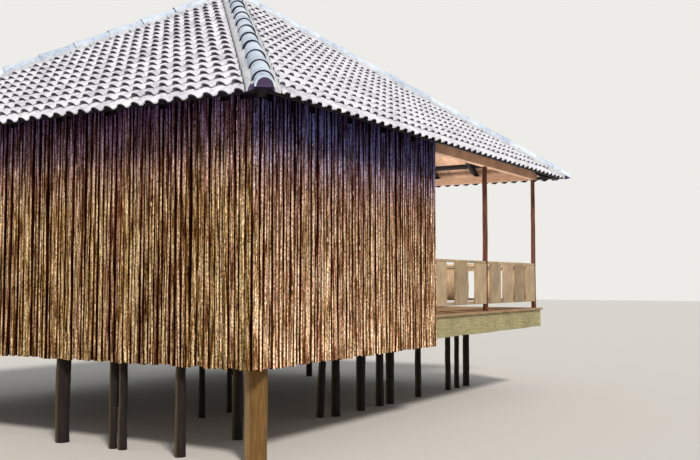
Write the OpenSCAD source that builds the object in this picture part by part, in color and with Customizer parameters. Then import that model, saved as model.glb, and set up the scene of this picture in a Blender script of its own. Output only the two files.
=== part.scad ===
// Stilt house: one stick-walled room and an open veranda under a hipped tile roof.
// X runs along the long wall from the room to the veranda, Y across the house, Z up.
// The origin is on the ground below the middle of the roof.

/* [Plan] */
// Length of the house over its outer wall faces
house_l = 8340; // [7000:10:9500]
// Width of the house over its outer wall faces
house_w = 7160; // [6200:10:8000]
// Length of the closed room, the rest is veranda
room_l = 4080; // [3700:10:4600]
// Roof overhang past the wall faces, in plan
overhang = 355; // [250:5:450]

/* [Heights] */
// Top of the floor boards above the ground
floor_top = 1360; // [1250:10:1600]
// Lower ends of the wall sticks above the ground
skirt_z = 950; // [800:10:1000]
// Underside of the tiles at the eaves, above the underside of the wall plates
eave_lift = 10; // [5:1:40]
// Rise of the tile underside from the eaves to the peak
roof_rise = 2720; // [2400:10:3100]

/* [Stick walls] */
// Diameter of a wall stick
stick_d = 62; // [61:1:72]
// Greatest spacing of the wall sticks
stick_pitch = 60; // [50:1:61]
// Faces on each half of a stick
stick_faces = 4; // [3:1:8]
// Height of the horizontal wall rails
rail_h = 80; // [50:5:100]
// Thickness of the horizontal wall rails
rail_t = 50; // [30:5:60]
// Height of the lower wall rail above the floor
rail_low = 790; // [600:10:900]
// Height of the upper wall rail above the floor
rail_high = 1540; // [1400:10:1700]
// Side of a square wall stud
stud = 80; // [60:5:100]

/* [Doorway] */
// Clear width of the doorway
door_w = 900; // [750:10:1100]
// Clear height of the doorway
door_h = 2050; // [1900:10:2100]
// Face width of the door frame
frame_w = 60; // [40:5:80]
// Depth of the door frame through the wall
frame_d = 120; // [100:5:150]
// Height of the stick panel over the door frame
over_door = 120; // [80:5:250]

/* [Floor frame] */
// Thickness of the floor boards
floor_t = 30; // [20:1:40]
// Depth of the joists
joist_h = 100; // [80:5:120]
// Width of the joists
joist_w = 60; // [50:5:80]
// Greatest spacing of the joists
joist_pitch = 560; // [400:10:650]
// Depth of the bearers
bearer_h = 150; // [120:5:180]
// Width of the bearers
bearer_w = 100; // [80:5:140]
// Distance of the outer bearers behind the joist ends
bearer_back = 25; // [15:1:60]
// Height of the rim board under the veranda floor
rim_h = 290; // [200:5:300]
// Thickness of the rim board
rim_t = 30; // [20:1:40]

/* [Stilts and posts] */
// Diameter of the stout corner posts
corner_d = 235; // [180:5:240]
// Distance of a corner post's axis inside the end wall face
corner_in_x = 320; // [260:5:320]
// Distance of the left stilts' line inside the wall face
left_line_in = 150; // [140:1:170]
// Diameter of the veranda posts
veranda_post_d = 85; // [80:5:110]

/* [Roof frame] */
// Thickness of the roof boards
board_t = 18; // [12:1:25]
// Depth of the purlins
purlin_h = 45; // [35:1:60]
// Width of the purlins
purlin_w = 50; // [40:1:70]
// Spacing of the purlins in plan
purlin_pitch = 430; // [380:10:500]
// Depth of the rafters
rafter_h = 90; // [70:5:110]
// Width of the rafters
rafter_w = 60; // [45:5:75]
// Spacing of the rafters
rafter_pitch = 790; // [650:10:900]
// Width of the hip rafters
hip_rafter_w = 70; // [60:5:90]
// Depth of the hip rafters, measured upright
hip_rafter_h = 170; // [150:5:200]
// Diameter of the block at the peak that the hip rafters meet
peak_block_d = 260; // [220:10:320]
// Width of the wall plates
plate_w = 100; // [80:5:120]

/* [Roof covering] */
// Spacing of the barrel rows, the cover width of one tile
tile_pitch = 190; // [170:1:220]
// Width of one barrel
barrel_w = 124; // [100:2:150]
// Height of a barrel above its pan
barrel_h = 48; // [35:1:60]
// Thickness of the pans
pan_t = 20; // [14:1:28]
// Faces on a barrel
barrel_faces = 6; // [4:1:10]
// Half width of the mortar bed along a hip
bed_half = 170; // [150:5:220]
// Height of the mortar bed above the roof boards
bed_h = 66; // [60:1:80]
// Radius of a hip tile at its lower end
hip_r_low = 112; // [95:1:125]
// Radius of a hip tile at its upper end
hip_r_top = 92; // [80:1:95]
// Length of a hip tile that shows
hip_gauge = 538; // [450:2:560]
// Length that shows of the lowest hip tile, which is cut to fit
hip_first = 225; // [120:5:300]
// Height of the hip tiles' axis above the roof boards, measured upright
hip_axis_h = 30; // [10:1:40]
// Radius of the mortar cap at the peak
cap_r = 222; // [190:2:222]

/* [Veranda railing] */
// Top of the railing above the floor
railing_h = 770; // [700:10:1000]
// Width of a railing board
railing_board_w = 440; // [300:10:460]
// Greatest spacing of the railing boards
railing_pitch = 760; // [600:10:800]
// Gap between a railing's first board and its post
railing_end = 35; // [10:5:60]
// Clear height under the railing boards
railing_clear = 114; // [60:2:150]
// Thickness of a railing board
railing_board_t = 24; // [18:1:30]
// Height of a railing bar
bar_h = 45; // [35:1:60]
// Thickness of a railing bar
bar_t = 60; // [45:1:70]
// Clear height between the two upper railing bars
bar_gap = 40; // [20:5:80]
// Clear way between the end railings
entry_w = 1000; // [850:10:1200]

/* [Hidden] */
$fn = 48;

// Half sizes of the house and of the roof in plan
half_l = house_l / 2;
half_w = house_w / 2;
eave_x = half_l + overhang;
eave_y = half_w + overhang;
// Outer face of the wall between the room and the veranda
room_x = -half_l + room_l;

// The wall plates lie over the doorway, and the roof starts from them
plate_z = floor_top + door_h + frame_w + over_door;
eave_z = plate_z + eave_lift;

// The floor's levels, from the boards down
joist_top = floor_top - floor_t;
bearer_top = joist_top - joist_h;
stilt_top = bearer_top - bearer_h;
// Where rails, plates and the floor frame start behind the sticks
frame_in = stick_d;
joist_in = frame_in + rail_t;
bearer_in = joist_in + bearer_back;
// The corner posts stand against the rails
corner_in_y = joist_in + corner_d / 2;
// How far the sill rails hang below the floor boards
sill_drop = 10;

// Sides of the roof: 0 right (-Y), 1 end (+X), 2 back (+Y), 3 left (-X)
function run(side) = side % 2 == 0 ? eave_y : eave_x;
function eave_len(side) = side % 2 == 0 ? 2 * eave_x : 2 * eave_y;
function pitch(side) = atan(roof_rise / run(side));
function slope_z(side, y) = eave_z + y * roof_rise / run(side);
// The rafters' underside at a distance in from the eave
frame_depth = board_t + purlin_h + rafter_h;
function rafter_z(side, y) = slope_z(side, y) - frame_depth / cos(pitch(side));

// Depth of the birdsmouth that seats a rafter on its plate
birdsmouth = 30;
plate_top = [for (side = [0:3]) rafter_z(side, overhang + frame_in) + birdsmouth];
// The sticks end just under the rafters
stick_clear = 8;
wall_top = min(rafter_z(0, overhang), rafter_z(1, overhang)) - stick_clear;

// How far the roof's timbers stay behind the edge of the tiles, in plan
board_back = 90;
wood_back = 105;
rafter_back = 120;
// The block at the peak, and the purlins' distance from the peak
peak_block_h = 420;
purlin_stop = 300;
// How far the mortar reaches past a hip tile, and how deep the tile's seat goes into it
seat_lip = 4;
seat_depth = 0.8 * bed_h;
// The peak's mortar cap: share of its radius, and height above its rim
cap_profile = [[1, -10], [0.75, 45], [0.45, 88], [0, 110]];

// The hips: length in plan, direction and rise
hip_run = norm([eave_x, eave_y]);
hip_angle = atan(roof_rise / hip_run);
// The hip tiles fill the hip from the roof corner to just short of the peak's cap, where the
// top one is cut off
cap_clear = 20;
hip_end = norm([hip_run, roof_rise]) - cap_r / cos(hip_angle) - cap_clear;
hip_tile_n = ceil((hip_end - hip_first) / hip_gauge);
// The lowest hip tile is the upper part of a whole one
hip_taper = (hip_r_low - hip_r_top) / hip_gauge;
hip_r_cut = hip_r_top + hip_taper * hip_first;
// A box beyond the whole roof, for cuts
far = 2 * (eave_x + eave_y);

// Rows of stilts: distance across the house from the right wall face
row_near = 1220;
row_mid = 2680;
rows = [row_near, row_mid, house_w - row_mid, house_w - row_near];
// Each stilt of a row: distance from the left wall face, and diameter. A distance below
// zero is from the veranda's end
row_stilts = [
    [[1300, 130], [3454, 130], [4129, 130], [4680, 125], [4990, 125], [-2410, 100],
        [-1300, 100], [-940, 90], [-550, 120]],
    [[2418, 92], [3007, 78], [-2530, 110], [-660, 120]],
    [[2690, 100], [4060, 120], [-2490, 110], [-580, 120]],
    [[1300, 130], [2970, 120], [4170, 120], [-2600, 115], [-1130, 110], [-380, 110]]];
// Stilts under the left wall: distance from the right wall face, and diameter
left_row = [[1074, 120], [1887, 98], [2030, 92], [2818, 160]];
// The leaning stilt: foot and head, and diameter
lean_foot = [3260, 1350];
lean_head = [3205, 1250];
lean_d = 105;

// Studs of the long walls, from the left wall face
corner_stud = 300;
long_studs = [2000, room_l - corner_stud];
// Studs of the left wall, from the middle, and of the doorway wall, from the side rails
left_stud = 1190;
door_stud = 900;

// The veranda posts stand a little behind the middle of the plates. On the long faces they
// stand at these distances from the left face
post_set = 10;
post_bay = 1980;
veranda_post_in = frame_in + plate_w / 2 + post_set;
veranda_line = [room_l + post_bay, house_l - veranda_post_in];
entry_post = (entry_w + veranda_post_d) / 2;

// Places children at a distance from the left and right wall faces
module from_corner(x, y) {
    translate([-half_l + x, -half_w + y, 0]) children();
}

// Repeats children on the back half of the house
module both_halves() {
    children();
    mirror([0, 1, 0]) children();
}

module post(d, z0, z1) {
    translate([0, 0, z0]) cylinder(h = z1 - z0, d = d);
}

// A box between two corners
module block(p, q) {
    translate(p) cube(q - p);
}

module corner_post_shape() {
    from_corner(corner_in_x, corner_in_y) post(corner_d, 0, plate_z);
}

module corner_post_hole() {
    both_halves() from_corner(corner_in_x, corner_in_y) post(corner_d, -1, plate_z + 1);
}

// Outline of a row of touching sticks along X, with half-round fronts and backs
function arc(cx, from, to) =
    [for (k = [0:stick_faces]) let (a = from + (to - from) * k / stick_faces)
        [cx + stick_d / 2 * cos(a), stick_d / 2 * sin(a)]];

module stick_panel(len, z0, z1) {
    n = ceil(len / stick_pitch);
    step = len / n;
    half_chord = acos(min(1, step / stick_d));
    front = [for (i = [0:n - 1]) each arc((i + 0.5) * step, 180 + half_chord, 360 - half_chord)];
    back = [for (i = [n - 1:-1:0]) each arc((i + 0.5) * step, half_chord, 180 - half_chord)];
    translate([0, stick_d / 2, z0])
        linear_extrude(z1 - z0) intersection() {
            polygon(concat(front, back));
            translate([0, -stick_d]) square([len, 2 * stick_d]);
        }
}

// Walls. Each panel starts at its corner and runs along its wall with its face outwards
module right_wall() {
    color("#8f6f50") from_corner(0, 0) stick_panel(room_l, skirt_z, wall_top);
}

module back_wall() {
    color("#8f6f50") mirror([0, 1, 0]) from_corner(0, 0) stick_panel(room_l, skirt_z, wall_top);
}

module left_wall() {
    color("#80643f") from_corner(0, house_w - frame_in) rotate([0, 0, -90])
        stick_panel(house_w - 2 * frame_in, skirt_z, wall_top);
}

// The wall to the veranda, beside and over the doorway
door_edge = door_w / 2 + frame_w;
door_side = half_w - frame_in - door_edge;
module door_wall_part(y, len, z0) {
    translate([room_x, y, 0]) rotate([0, 0, 90]) stick_panel(len, z0, plate_z);
}

module door_wall_near() {
    color("#80643f") door_wall_part(-door_edge - door_side, door_side, floor_top);
}

module door_wall_far() {
    color("#80643f") door_wall_part(door_edge, door_side, floor_top);
}

module over_door_panel() {
    color("#80643f") door_wall_part(-door_edge, 2 * door_edge, floor_top + door_h + frame_w);
}

// An open frame without a leaf
module door_frame() {
    x0 = room_x - stick_d - (frame_d - stick_d) / 2;
    color("#5a4030") difference() {
        block([x0, -door_edge, floor_top],
            [x0 + frame_d, door_edge, floor_top + door_h + frame_w]);
        block([x0 - 1, -door_w / 2, floor_top - 1],
            [x0 + frame_d + 1, door_w / 2, floor_top + door_h]);
    }
}

// Stilts
module left_stilts() {
    color("#2b1e17") both_halves() for (s = left_row)
        from_corner(left_line_in, s[0]) post(s[1], 0, stilt_top);
}

module inner_stilts() {
    color("#2b1e17") for (i = [0:3], s = row_stilts[i])
        from_corner(s[0] < 0 ? house_l + s[0] : s[0], rows[i]) post(s[1], 0, stilt_top);
}

module leaning_stilt() {
    lean = [lean_head[0] - lean_foot[0], lean_head[1] - lean_foot[1]];
    color("#2b1e17") from_corner(lean_foot[0], lean_foot[1]) intersection() {
        multmatrix([[1, 0, lean[0] / stilt_top, 0], [0, 1, lean[1] / stilt_top, 0], [0, 0, 1, 0]])
            cylinder(h = stilt_top, d = lean_d);
        block([-far, -far, 0], [far, far, stilt_top]);
    }
}

// Posts
module corner_post() {
    color("#8a6a45") corner_post_shape();
}

module back_corner_post() {
    color("#8a6a45") mirror([0, 1, 0]) corner_post_shape();
}

module veranda_posts() {
    color("#6b4030") {
        both_halves() for (x = veranda_line)
            from_corner(x, veranda_post_in) post(veranda_post_d, floor_top, plate_z);
        both_halves() translate([half_l - veranda_post_in, -entry_post, 0])
            post(veranda_post_d, floor_top, plate_z);
    }
}

// Floor frame: long bearers let into a cross bearer at each end
module floor_bearers() {
    color("#4a3526") difference() {
        union() {
            for (y = concat([bearer_in + bearer_w / 2, house_w - bearer_in - bearer_w / 2], rows))
                from_corner(joist_in, y - bearer_w / 2)
                    block([0, 0, stilt_top], [house_l - 2 * joist_in, bearer_w, bearer_top]);
            for (x = [joist_in, house_l - joist_in - bearer_w])
                from_corner(x, bearer_in)
                    block([0, 0, stilt_top], [bearer_w, house_w - 2 * bearer_in, bearer_top]);
        }
        corner_post_hole();
    }
}

module floor_joists() {
    span = house_l - 2 * joist_in - joist_w;
    n = ceil(span / joist_pitch);
    color("#5b4330") difference() {
        for (i = [0:n]) from_corner(joist_in + i * span / n, joist_in)
            block([0, 0, bearer_top], [joist_w, house_w - 2 * joist_in, joist_top]);
        corner_post_hole();
    }
}

module room_floor() {
    color("#9a7b58") difference() {
        block([-half_l + frame_in, -half_w + frame_in, joist_top],
            [room_x, half_w - frame_in, floor_top]);
        corner_post_hole();
    }
}

module veranda_floor() {
    color("#9a7b58") block([room_x, -half_w, joist_top], [half_l, half_w, floor_top]);
}

// Rails that the sticks and the rim boards are nailed to
module rail_ring(z, x1) {
    both_halves() block([-half_l + frame_in, -half_w + frame_in, z],
        [x1, -half_w + joist_in, z + rail_h]);
    block([-half_l + frame_in, -half_w + joist_in, z],
        [-half_l + joist_in, half_w - joist_in, z + rail_h]);
}

module sill_rails() {
    z = joist_top - rail_h - sill_drop;
    color("#5b4330") {
        rail_ring(z, half_l - frame_in);
        block([half_l - joist_in, -half_w + joist_in, z],
            [half_l - frame_in, half_w - joist_in, z + rail_h]);
    }
}

module wall_rails() {
    color("#5b4330") for (h = [rail_low, rail_high]) {
        z = floor_top + h;
        rail_ring(z, room_x - frame_in);
        both_halves() block([room_x - joist_in, -half_w + joist_in, z],
            [room_x - frame_in, -door_edge, z + rail_h]);
    }
}

module wall_studs() {
    color("#5b4330") {
        both_halves() for (x = long_studs) from_corner(x, joist_in)
            block([0, 0, floor_top], [stud, stud, plate_z]);
        both_halves() from_corner(joist_in, half_w - left_stud)
            block([0, 0, floor_top], [stud, stud, plate_z]);
        both_halves() translate([room_x - joist_in - stud, -half_w + joist_in + door_stud, 0])
            block([0, 0, floor_top], [stud, stud, plate_z]);
    }
}

// The plates on the walls and posts, and the tie over the doorway wall
module wall_plates() {
    in = frame_in + plate_w;
    color("#4a3526") union() {
        both_halves() block([-half_l + frame_in, -half_w + frame_in, plate_z],
            [half_l - frame_in, -half_w + in, plate_top[0]]);
        for (m = [0, 1]) mirror([m, 0, 0]) block([-half_l + frame_in, -half_w + in, plate_z],
            [-half_l + in, half_w - in, plate_top[1]]);
        block([room_x - joist_in - stud, -half_w + in, plate_z],
            [room_x, half_w - in, plate_top[1]]);
    }
}

// Veranda railing: bars with wide upright boards on their outer side
module railing(len) {
    top = floor_top + railing_h;
    low = floor_top + railing_clear;
    span = len - 2 * railing_end - railing_board_w;
    n = max(1, ceil(span / railing_pitch));
    for (z = [top - bar_h, top - 2 * bar_h - bar_gap, low])
        block([0, railing_board_t, z], [len, railing_board_t + bar_t, z + bar_h]);
    for (i = [0:n]) translate([railing_end + i * span / n, 0, 0])
        block([0, 0, low], [railing_board_w, railing_board_t, top - bar_h]);
}

module long_railing() {
    y = veranda_post_in - railing_board_t - bar_t / 2;
    r = veranda_post_d / 2;
    from_corner(room_l, y) railing(veranda_line[0] - r - room_l);
    from_corner(veranda_line[0] + r, y) railing(veranda_line[1] - veranda_line[0] - 2 * r);
}

module right_railing() {
    color("#a08c6d") long_railing();
}

module back_railing() {
    color("#a08c6d") mirror([0, 1, 0]) long_railing();
}

module end_railing() {
    a = -half_w + veranda_post_in + veranda_post_d / 2;
    b = -entry_post - veranda_post_d / 2;
    translate([half_l - veranda_post_in + railing_board_t + bar_t / 2, a, 0])
        rotate([0, 0, 90]) railing(b - a);
}

module end_railing_near() {
    color("#a08c6d") end_railing();
}

module end_railing_far() {
    color("#a08c6d") mirror([0, 1, 0]) end_railing();
}

module rim_boards() {
    out = frame_in - rim_t;
    color("#a39a76") union() {
        both_halves() block([room_x, -half_w + out, joist_top - rim_h],
            [half_l - out, -half_w + frame_in, joist_top]);
        block([half_l - frame_in, -half_w + frame_in, joist_top - rim_h],
            [half_l - out, half_w - frame_in, joist_top]);
    }
}

// Everything below the roof surface raised by n at right angles to each slope
module roof_body(n) {
    lift_y = n / cos(pitch(0));
    lift_x = n / cos(pitch(1));
    peak = eave_z + roof_rise;
    low = eave_z - far;
    intersection() {
        translate([-far / 2, 0, 0]) rotate([90, 0, 90]) linear_extrude(far)
            polygon([[-eave_y * 2, low], [eave_y * 2, low],
                [eave_y * 2, eave_z - roof_rise + lift_y], [0, peak + lift_y],
                [-eave_y * 2, eave_z - roof_rise + lift_y]]);
        translate([0, far / 2, 0]) rotate([90, 0, 0]) linear_extrude(far)
            polygon([[-eave_x * 2, low], [eave_x * 2, low],
                [eave_x * 2, eave_z - roof_rise + lift_x], [0, peak + lift_x],
                [-eave_x * 2, eave_z - roof_rise + lift_x]]);
    }
}

// Puts a side's own frame in place: X along the eave, Y up the slope in plan
module on_side(side) {
    flip = side == 2 ? [0, 1, 0] : side == 3 ? [1, 0, 0] : [0, 0, 0];
    mirror(flip) rotate([0, 0, 90 * (side % 2)]) translate([0, -run(side), 0]) children();
}

// The plan of one slope, held back from its hips by a distance
module side_plan(side, back = 0) {
    half = eave_len(side) / 2;
    shift = back * norm([half, run(side)]) / run(side);
    linear_extrude(far) polygon([[-half + shift, 0], [half - shift, 0],
        [0, run(side) * (half - shift) / half]]);
}

// A flat layer of one slope between two heights at right angles to it
module layer(side, n0, n1, from, to) {
    c = cos(pitch(side));
    rotate([90, 0, 90]) translate([0, 0, -far / 2]) linear_extrude(far)
        polygon([[from, slope_z(side, from) + n0 / c], [to, slope_z(side, to) + n0 / c],
            [to, slope_z(side, to) + n1 / c], [from, slope_z(side, from) + n1 / c]]);
}

module roof_boards(side) {
    color("#a5836a") on_side(side) intersection() {
        layer(side, -board_t, 0, board_back, run(side));
        side_plan(side);
    }
}

function barrel_arc(cx) = [for (k = [0:barrel_faces]) let (a = 180 - 180 * k / barrel_faces)
    [cx + barrel_w / 2 * cos(a), pan_t + barrel_h * sin(a)]];

// One slope of tiles: flat pans to the hips, barrel rows up to the mortar beds
module tiles(side) {
    n = floor(eave_len(side) / tile_pitch / 2);
    slope_len = norm([run(side), roof_rise]);
    rows_line = [for (i = [-n:n]) each barrel_arc(i * tile_pitch)];
    half = n * tile_pitch + barrel_w / 2;
    color("#b9b4ba") on_side(side) union() {
        intersection() {
            layer(side, 0, pan_t, 0, run(side));
            side_plan(side);
        }
        intersection() {
            translate([0, 0, eave_z]) rotate([pitch(side), 0, 0])
                translate([0, slope_len, 0]) rotate([90, 0, 0]) linear_extrude(slope_len)
                    polygon(concat([[-half, pan_t / 2]], rows_line, [[half, pan_t / 2]]));
            side_plan(side, bed_half);
        }
    }
}

// Puts a hip's own frame in place: X up the hip from the roof corner, Y across it
module on_hip(sx, sy) {
    flip = sx < 0 ? [0, 0, 0] : [1, 0, 0];
    flop = sy < 0 ? [0, 0, 0] : [0, 1, 0];
    mirror(flip) mirror(flop) translate([-eave_x, -eave_y, 0])
        rotate([0, 0, atan2(eave_y, eave_x)]) children();
}

// The hip tiles' own frame: X along their axis, from the roof corner
module on_hip_axis(sx, sy) {
    on_hip(sx, sy) translate([0, 0, eave_z + hip_axis_h]) rotate([0, -hip_angle, 0]) children();
}

// One hip: a mortar bed with a row of lapped half-round tiles, bedded solid
module hip_tiles(sx, sy) {
    starts = [for (i = [0:hip_tile_n - 1]) hip_first + i * hip_gauge];
    saw = [for (s = starts) let (e = min(s + hip_gauge, hip_end))
        each [[hip_r_low, s], [hip_r_low - hip_taper * (e - s), e]]];
    seat = hip_r_low + seat_lip;
    color("#c9c6cc") difference() {
        union() {
            intersection() {
                union() {
                    intersection() {
                        roof_body(bed_h);
                        on_hip(sx, sy) block([0, -bed_half, 0], [hip_run, bed_half, far]);
                    }
                    on_hip_axis(sx, sy) block([0, -seat, -seat_depth], [hip_end, seat, 0]);
                }
                block([min(0, sx * eave_x), min(0, sy * eave_y), 0],
                    [max(0, sx * eave_x), max(0, sy * eave_y), far]);
            }
            on_hip_axis(sx, sy) rotate([0, 90, 0]) rotate([0, 0, 90]) rotate_extrude(angle = 180)
                polygon(concat([[0, 0], [hip_r_cut, 0], [hip_r_top, hip_first]], saw,
                    [[0, hip_end]]));
        }
        roof_body(pan_t);
        cylinder(h = far, r = cap_r);
    }
}

module peak_cap() {
    peak = eave_z + roof_rise;
    color("#c9c6cc") difference() {
        translate([0, 0, peak - cap_r]) rotate_extrude()
            polygon(concat([[0, 0], [cap_r, 0]],
                [for (p = cap_profile) [p[0] * cap_r, cap_r + p[1]]]));
        roof_body(pan_t);
    }
}

// Roof frame
module peak_block() {
    z1 = eave_z + roof_rise;
    intersection() {
        translate([0, 0, z1 - peak_block_h]) cylinder(h = peak_block_h, d = peak_block_d);
        roof_body(-board_t);
    }
}

module hip_rafters() {
    start = wood_back;
    drop = board_t / cos(pitch(0));
    color("#3a2a20") difference() {
        union() {
            for (sx = [-1, 1], sy = [-1, 1])
                intersection() {
                    translate([sx * eave_x, sy * eave_y, 0])
                        rotate([90, 0, atan2(-sy * eave_y, -sx * eave_x)])
                            translate([0, 0, -hip_rafter_w / 2]) linear_extrude(hip_rafter_w)
                                polygon([[start, hip_z(start) - drop - hip_rafter_h],
                                    [hip_run, hip_z(hip_run) - drop - hip_rafter_h],
                                    [hip_run, hip_z(hip_run) + 50], [start, hip_z(start) + 50]]);
                    roof_body(-board_t);
                }
            peak_block();
        }
        wall_plates();
    }
}

function hip_z(d) = eave_z + d * roof_rise / hip_run;

module rafters() {
    color("#3a2a20") difference() {
        for (side = [0:3]) on_side(side) {
            n = floor(eave_len(side) / 2 / rafter_pitch);
            intersection() {
                layer(side, -frame_depth, -board_t - purlin_h, rafter_back,
                    run(side) - peak_block_d / 2);
                side_plan(side, hip_rafter_w / 2);
                union() {
                    for (i = [-n:n]) translate([i * rafter_pitch - rafter_w / 2, 0, 0])
                        cube([rafter_w, far, far]);
                }
            }
        }
        wall_plates();
    }
}

module purlins() {
    color("#3a2a20") for (side = [0:3]) on_side(side) {
        n = floor((run(side) - purlin_stop) / purlin_pitch);
        for (i = [0:n]) intersection() {
            layer(side, -board_t - purlin_h, -board_t, wood_back + i * purlin_pitch,
                wood_back + i * purlin_pitch + purlin_w);
            side_plan(side, hip_rafter_w / 2);
        }
    }
}

corner_post();
back_corner_post();
left_stilts();
inner_stilts();
leaning_stilt();
floor_bearers();
floor_joists();
room_floor();
veranda_floor();
sill_rails();
wall_rails();
wall_studs();
left_wall();
right_wall();
back_wall();
door_wall_near();
door_wall_far();
over_door_panel();
door_frame();
wall_plates();
veranda_posts();
right_railing();
back_railing();
end_railing_near();
end_railing_far();
rim_boards();
hip_rafters();
rafters();
purlins();
roof_boards(0);  // roof_boards_right
roof_boards(1);  // roof_boards_end
roof_boards(2);  // roof_boards_back
roof_boards(3);  // roof_boards_left
tiles(0);  // tiles_right
tiles(1);  // tiles_end
mirror([0, 1, 0]) tiles(0);  // tiles_back
mirror([1, 0, 0]) tiles(1);  // tiles_left
hip_tiles(-1, -1);  // hip_tiles_near
hip_tiles(1, -1);  // hip_tiles_right_end
hip_tiles(1, 1);  // hip_tiles_back_end
hip_tiles(-1, 1);  // hip_tiles_left_back
peak_cap();
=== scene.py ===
import math
import random
from functools import partial

import bmesh
import bpy
from mathutils import Matrix, Vector


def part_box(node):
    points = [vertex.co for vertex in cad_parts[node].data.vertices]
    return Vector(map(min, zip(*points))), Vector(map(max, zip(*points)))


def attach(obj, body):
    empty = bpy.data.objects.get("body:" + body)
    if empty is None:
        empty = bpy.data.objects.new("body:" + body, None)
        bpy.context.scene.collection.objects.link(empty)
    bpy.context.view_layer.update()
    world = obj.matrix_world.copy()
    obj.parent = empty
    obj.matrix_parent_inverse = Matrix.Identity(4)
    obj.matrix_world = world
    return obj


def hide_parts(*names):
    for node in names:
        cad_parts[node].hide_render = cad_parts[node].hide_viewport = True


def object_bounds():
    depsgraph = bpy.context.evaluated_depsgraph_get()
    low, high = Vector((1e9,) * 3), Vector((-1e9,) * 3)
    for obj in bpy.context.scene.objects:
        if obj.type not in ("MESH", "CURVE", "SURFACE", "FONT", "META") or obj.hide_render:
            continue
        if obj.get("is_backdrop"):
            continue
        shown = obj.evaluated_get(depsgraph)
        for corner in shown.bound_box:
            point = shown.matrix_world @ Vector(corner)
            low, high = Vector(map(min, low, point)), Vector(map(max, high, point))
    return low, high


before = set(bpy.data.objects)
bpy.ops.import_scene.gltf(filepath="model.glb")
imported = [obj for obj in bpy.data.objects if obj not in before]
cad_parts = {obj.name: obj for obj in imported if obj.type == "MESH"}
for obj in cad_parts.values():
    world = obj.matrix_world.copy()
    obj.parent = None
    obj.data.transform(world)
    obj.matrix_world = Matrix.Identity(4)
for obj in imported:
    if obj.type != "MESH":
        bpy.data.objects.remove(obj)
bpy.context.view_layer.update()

scene = bpy.context.scene
pointReach, cornerReach = 0.001, 0.0002  # two points, or two corners in the CAD, nearer than this are one


# small helpers
def deselectAll():
    if bpy.context.object and bpy.context.object.mode != "OBJECT":
        bpy.ops.object.mode_set(mode="OBJECT")
    bpy.ops.object.select_all(action="DESELECT")


def pick(obj):
    deselectAll()
    obj.select_set(True)
    bpy.context.view_layer.objects.active = obj


def selectAll():
    bpy.ops.mesh.select_all(action="SELECT")


def editAll(obj):
    pick(obj)
    bpy.ops.object.mode_set(mode="EDIT")
    selectAll()


def selectVerts(obj, test):
    # picks points by their place, in edit mode
    bpy.ops.object.mode_set(mode="OBJECT")
    for part in (*obj.data.polygons, *obj.data.edges):
        part.select = False
    for vert in obj.data.vertices:
        vert.select = bool(test(vert.co))
    bpy.ops.object.mode_set(mode="EDIT")
    bpy.ops.mesh.select_mode(type="VERT")


def moveVerts(obj, test, move):
    selectVerts(obj, test)
    bpy.ops.transform.translate(value=move)


def nearTo(point):
    return lambda co: (co - point).length < pointReach


def extrudeBy(*move):
    bpy.ops.mesh.extrude_region_move(TRANSFORM_OT_translate={"value": move})


def start(name, primitive, **settings):
    # the shape that a piece begins with, in edit mode and selected all over
    deselectAll()
    primitive(**settings)
    shape = bpy.context.object
    shape.name = shape.data.name = name
    editAll(shape)
    return shape


def startDisc(name, sides, radius=1.0):
    return start(name, bpy.ops.mesh.primitive_circle_add, vertices=sides, radius=radius, fill_type="NGON")


def faceOut(obj):
    editAll(obj)
    bpy.ops.mesh.normals_make_consistent(inside=False)
    bpy.ops.object.mode_set(mode="OBJECT")


def smooth(obj, angleDeg):
    pick(obj)
    bpy.ops.object.shade_smooth_by_angle(angle=math.radians(angleDeg))


def applyModifier(obj, name, kind, settings):
    pick(obj)
    modifier = obj.modifiers.new(name, kind)
    for key, value in settings.items():
        setattr(modifier, key, value)
    bpy.ops.object.modifier_apply(modifier=modifier.name)


def makeLumpy(obj, size, strength, middle):
    # hand-laid mortar is never even: lumps of one size, pushed out and in from a middle level
    lumps = bpy.data.textures.new("mortarLumps", "CLOUDS")
    lumps.noise_scale = size
    applyModifier(obj, "lumps", "DISPLACE", {
        "texture": lumps, "texture_coords": "LOCAL", "strength": strength, "mid_level": middle})


def cutPiece(obj, point, normal):
    editAll(obj)
    bpy.ops.mesh.bisect(plane_co=point, plane_no=normal, use_fill=True, clear_outer=True)
    bpy.ops.object.mode_set(mode="OBJECT")


def markTone(obj, tone):
    # each piece's own shade: from 0 to 1, and above 1 for the pole at a wall's corner
    mark = obj.data.attributes.new("tone", "FLOAT", "POINT")
    mark.data.foreach_set("value", [tone] * len(obj.data.vertices))


def markPaintedShade(obj, test, depth=1.0):
    # marks the faces that get painted shade or painted shadow
    mark = obj.data.attributes.get("sooty") or obj.data.attributes.new("sooty", "FLOAT", "FACE")
    for poly in obj.data.polygons:
        if test(poly):
            mark.data[poly.index].value = depth


def copyOf(obj, matrix):
    # a copy with its own mesh, put in place
    copy = obj.copy()
    copy.data = obj.data.copy()
    copy.data.transform(matrix)
    scene.collection.objects.link(copy)
    return copy


def placedCopy(master, matrix, tone):
    copy = copyOf(master, matrix)
    markTone(copy, tone)
    return copy


def joinAll(parts, name):
    pick(parts[0])
    for part in parts:
        part.select_set(True)
    if len(parts) > 1:
        bpy.ops.object.join()
    piece = bpy.context.object
    piece.name = piece.data.name = name
    return piece


def removeAll(masters):
    for master in masters:
        bpy.data.objects.remove(master)


def finishPiece(piece, material, nodes=()):
    piece.data.materials.clear()
    piece.data.materials.append(material)
    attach(piece, "root")
    if nodes:
        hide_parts(*nodes)


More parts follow.
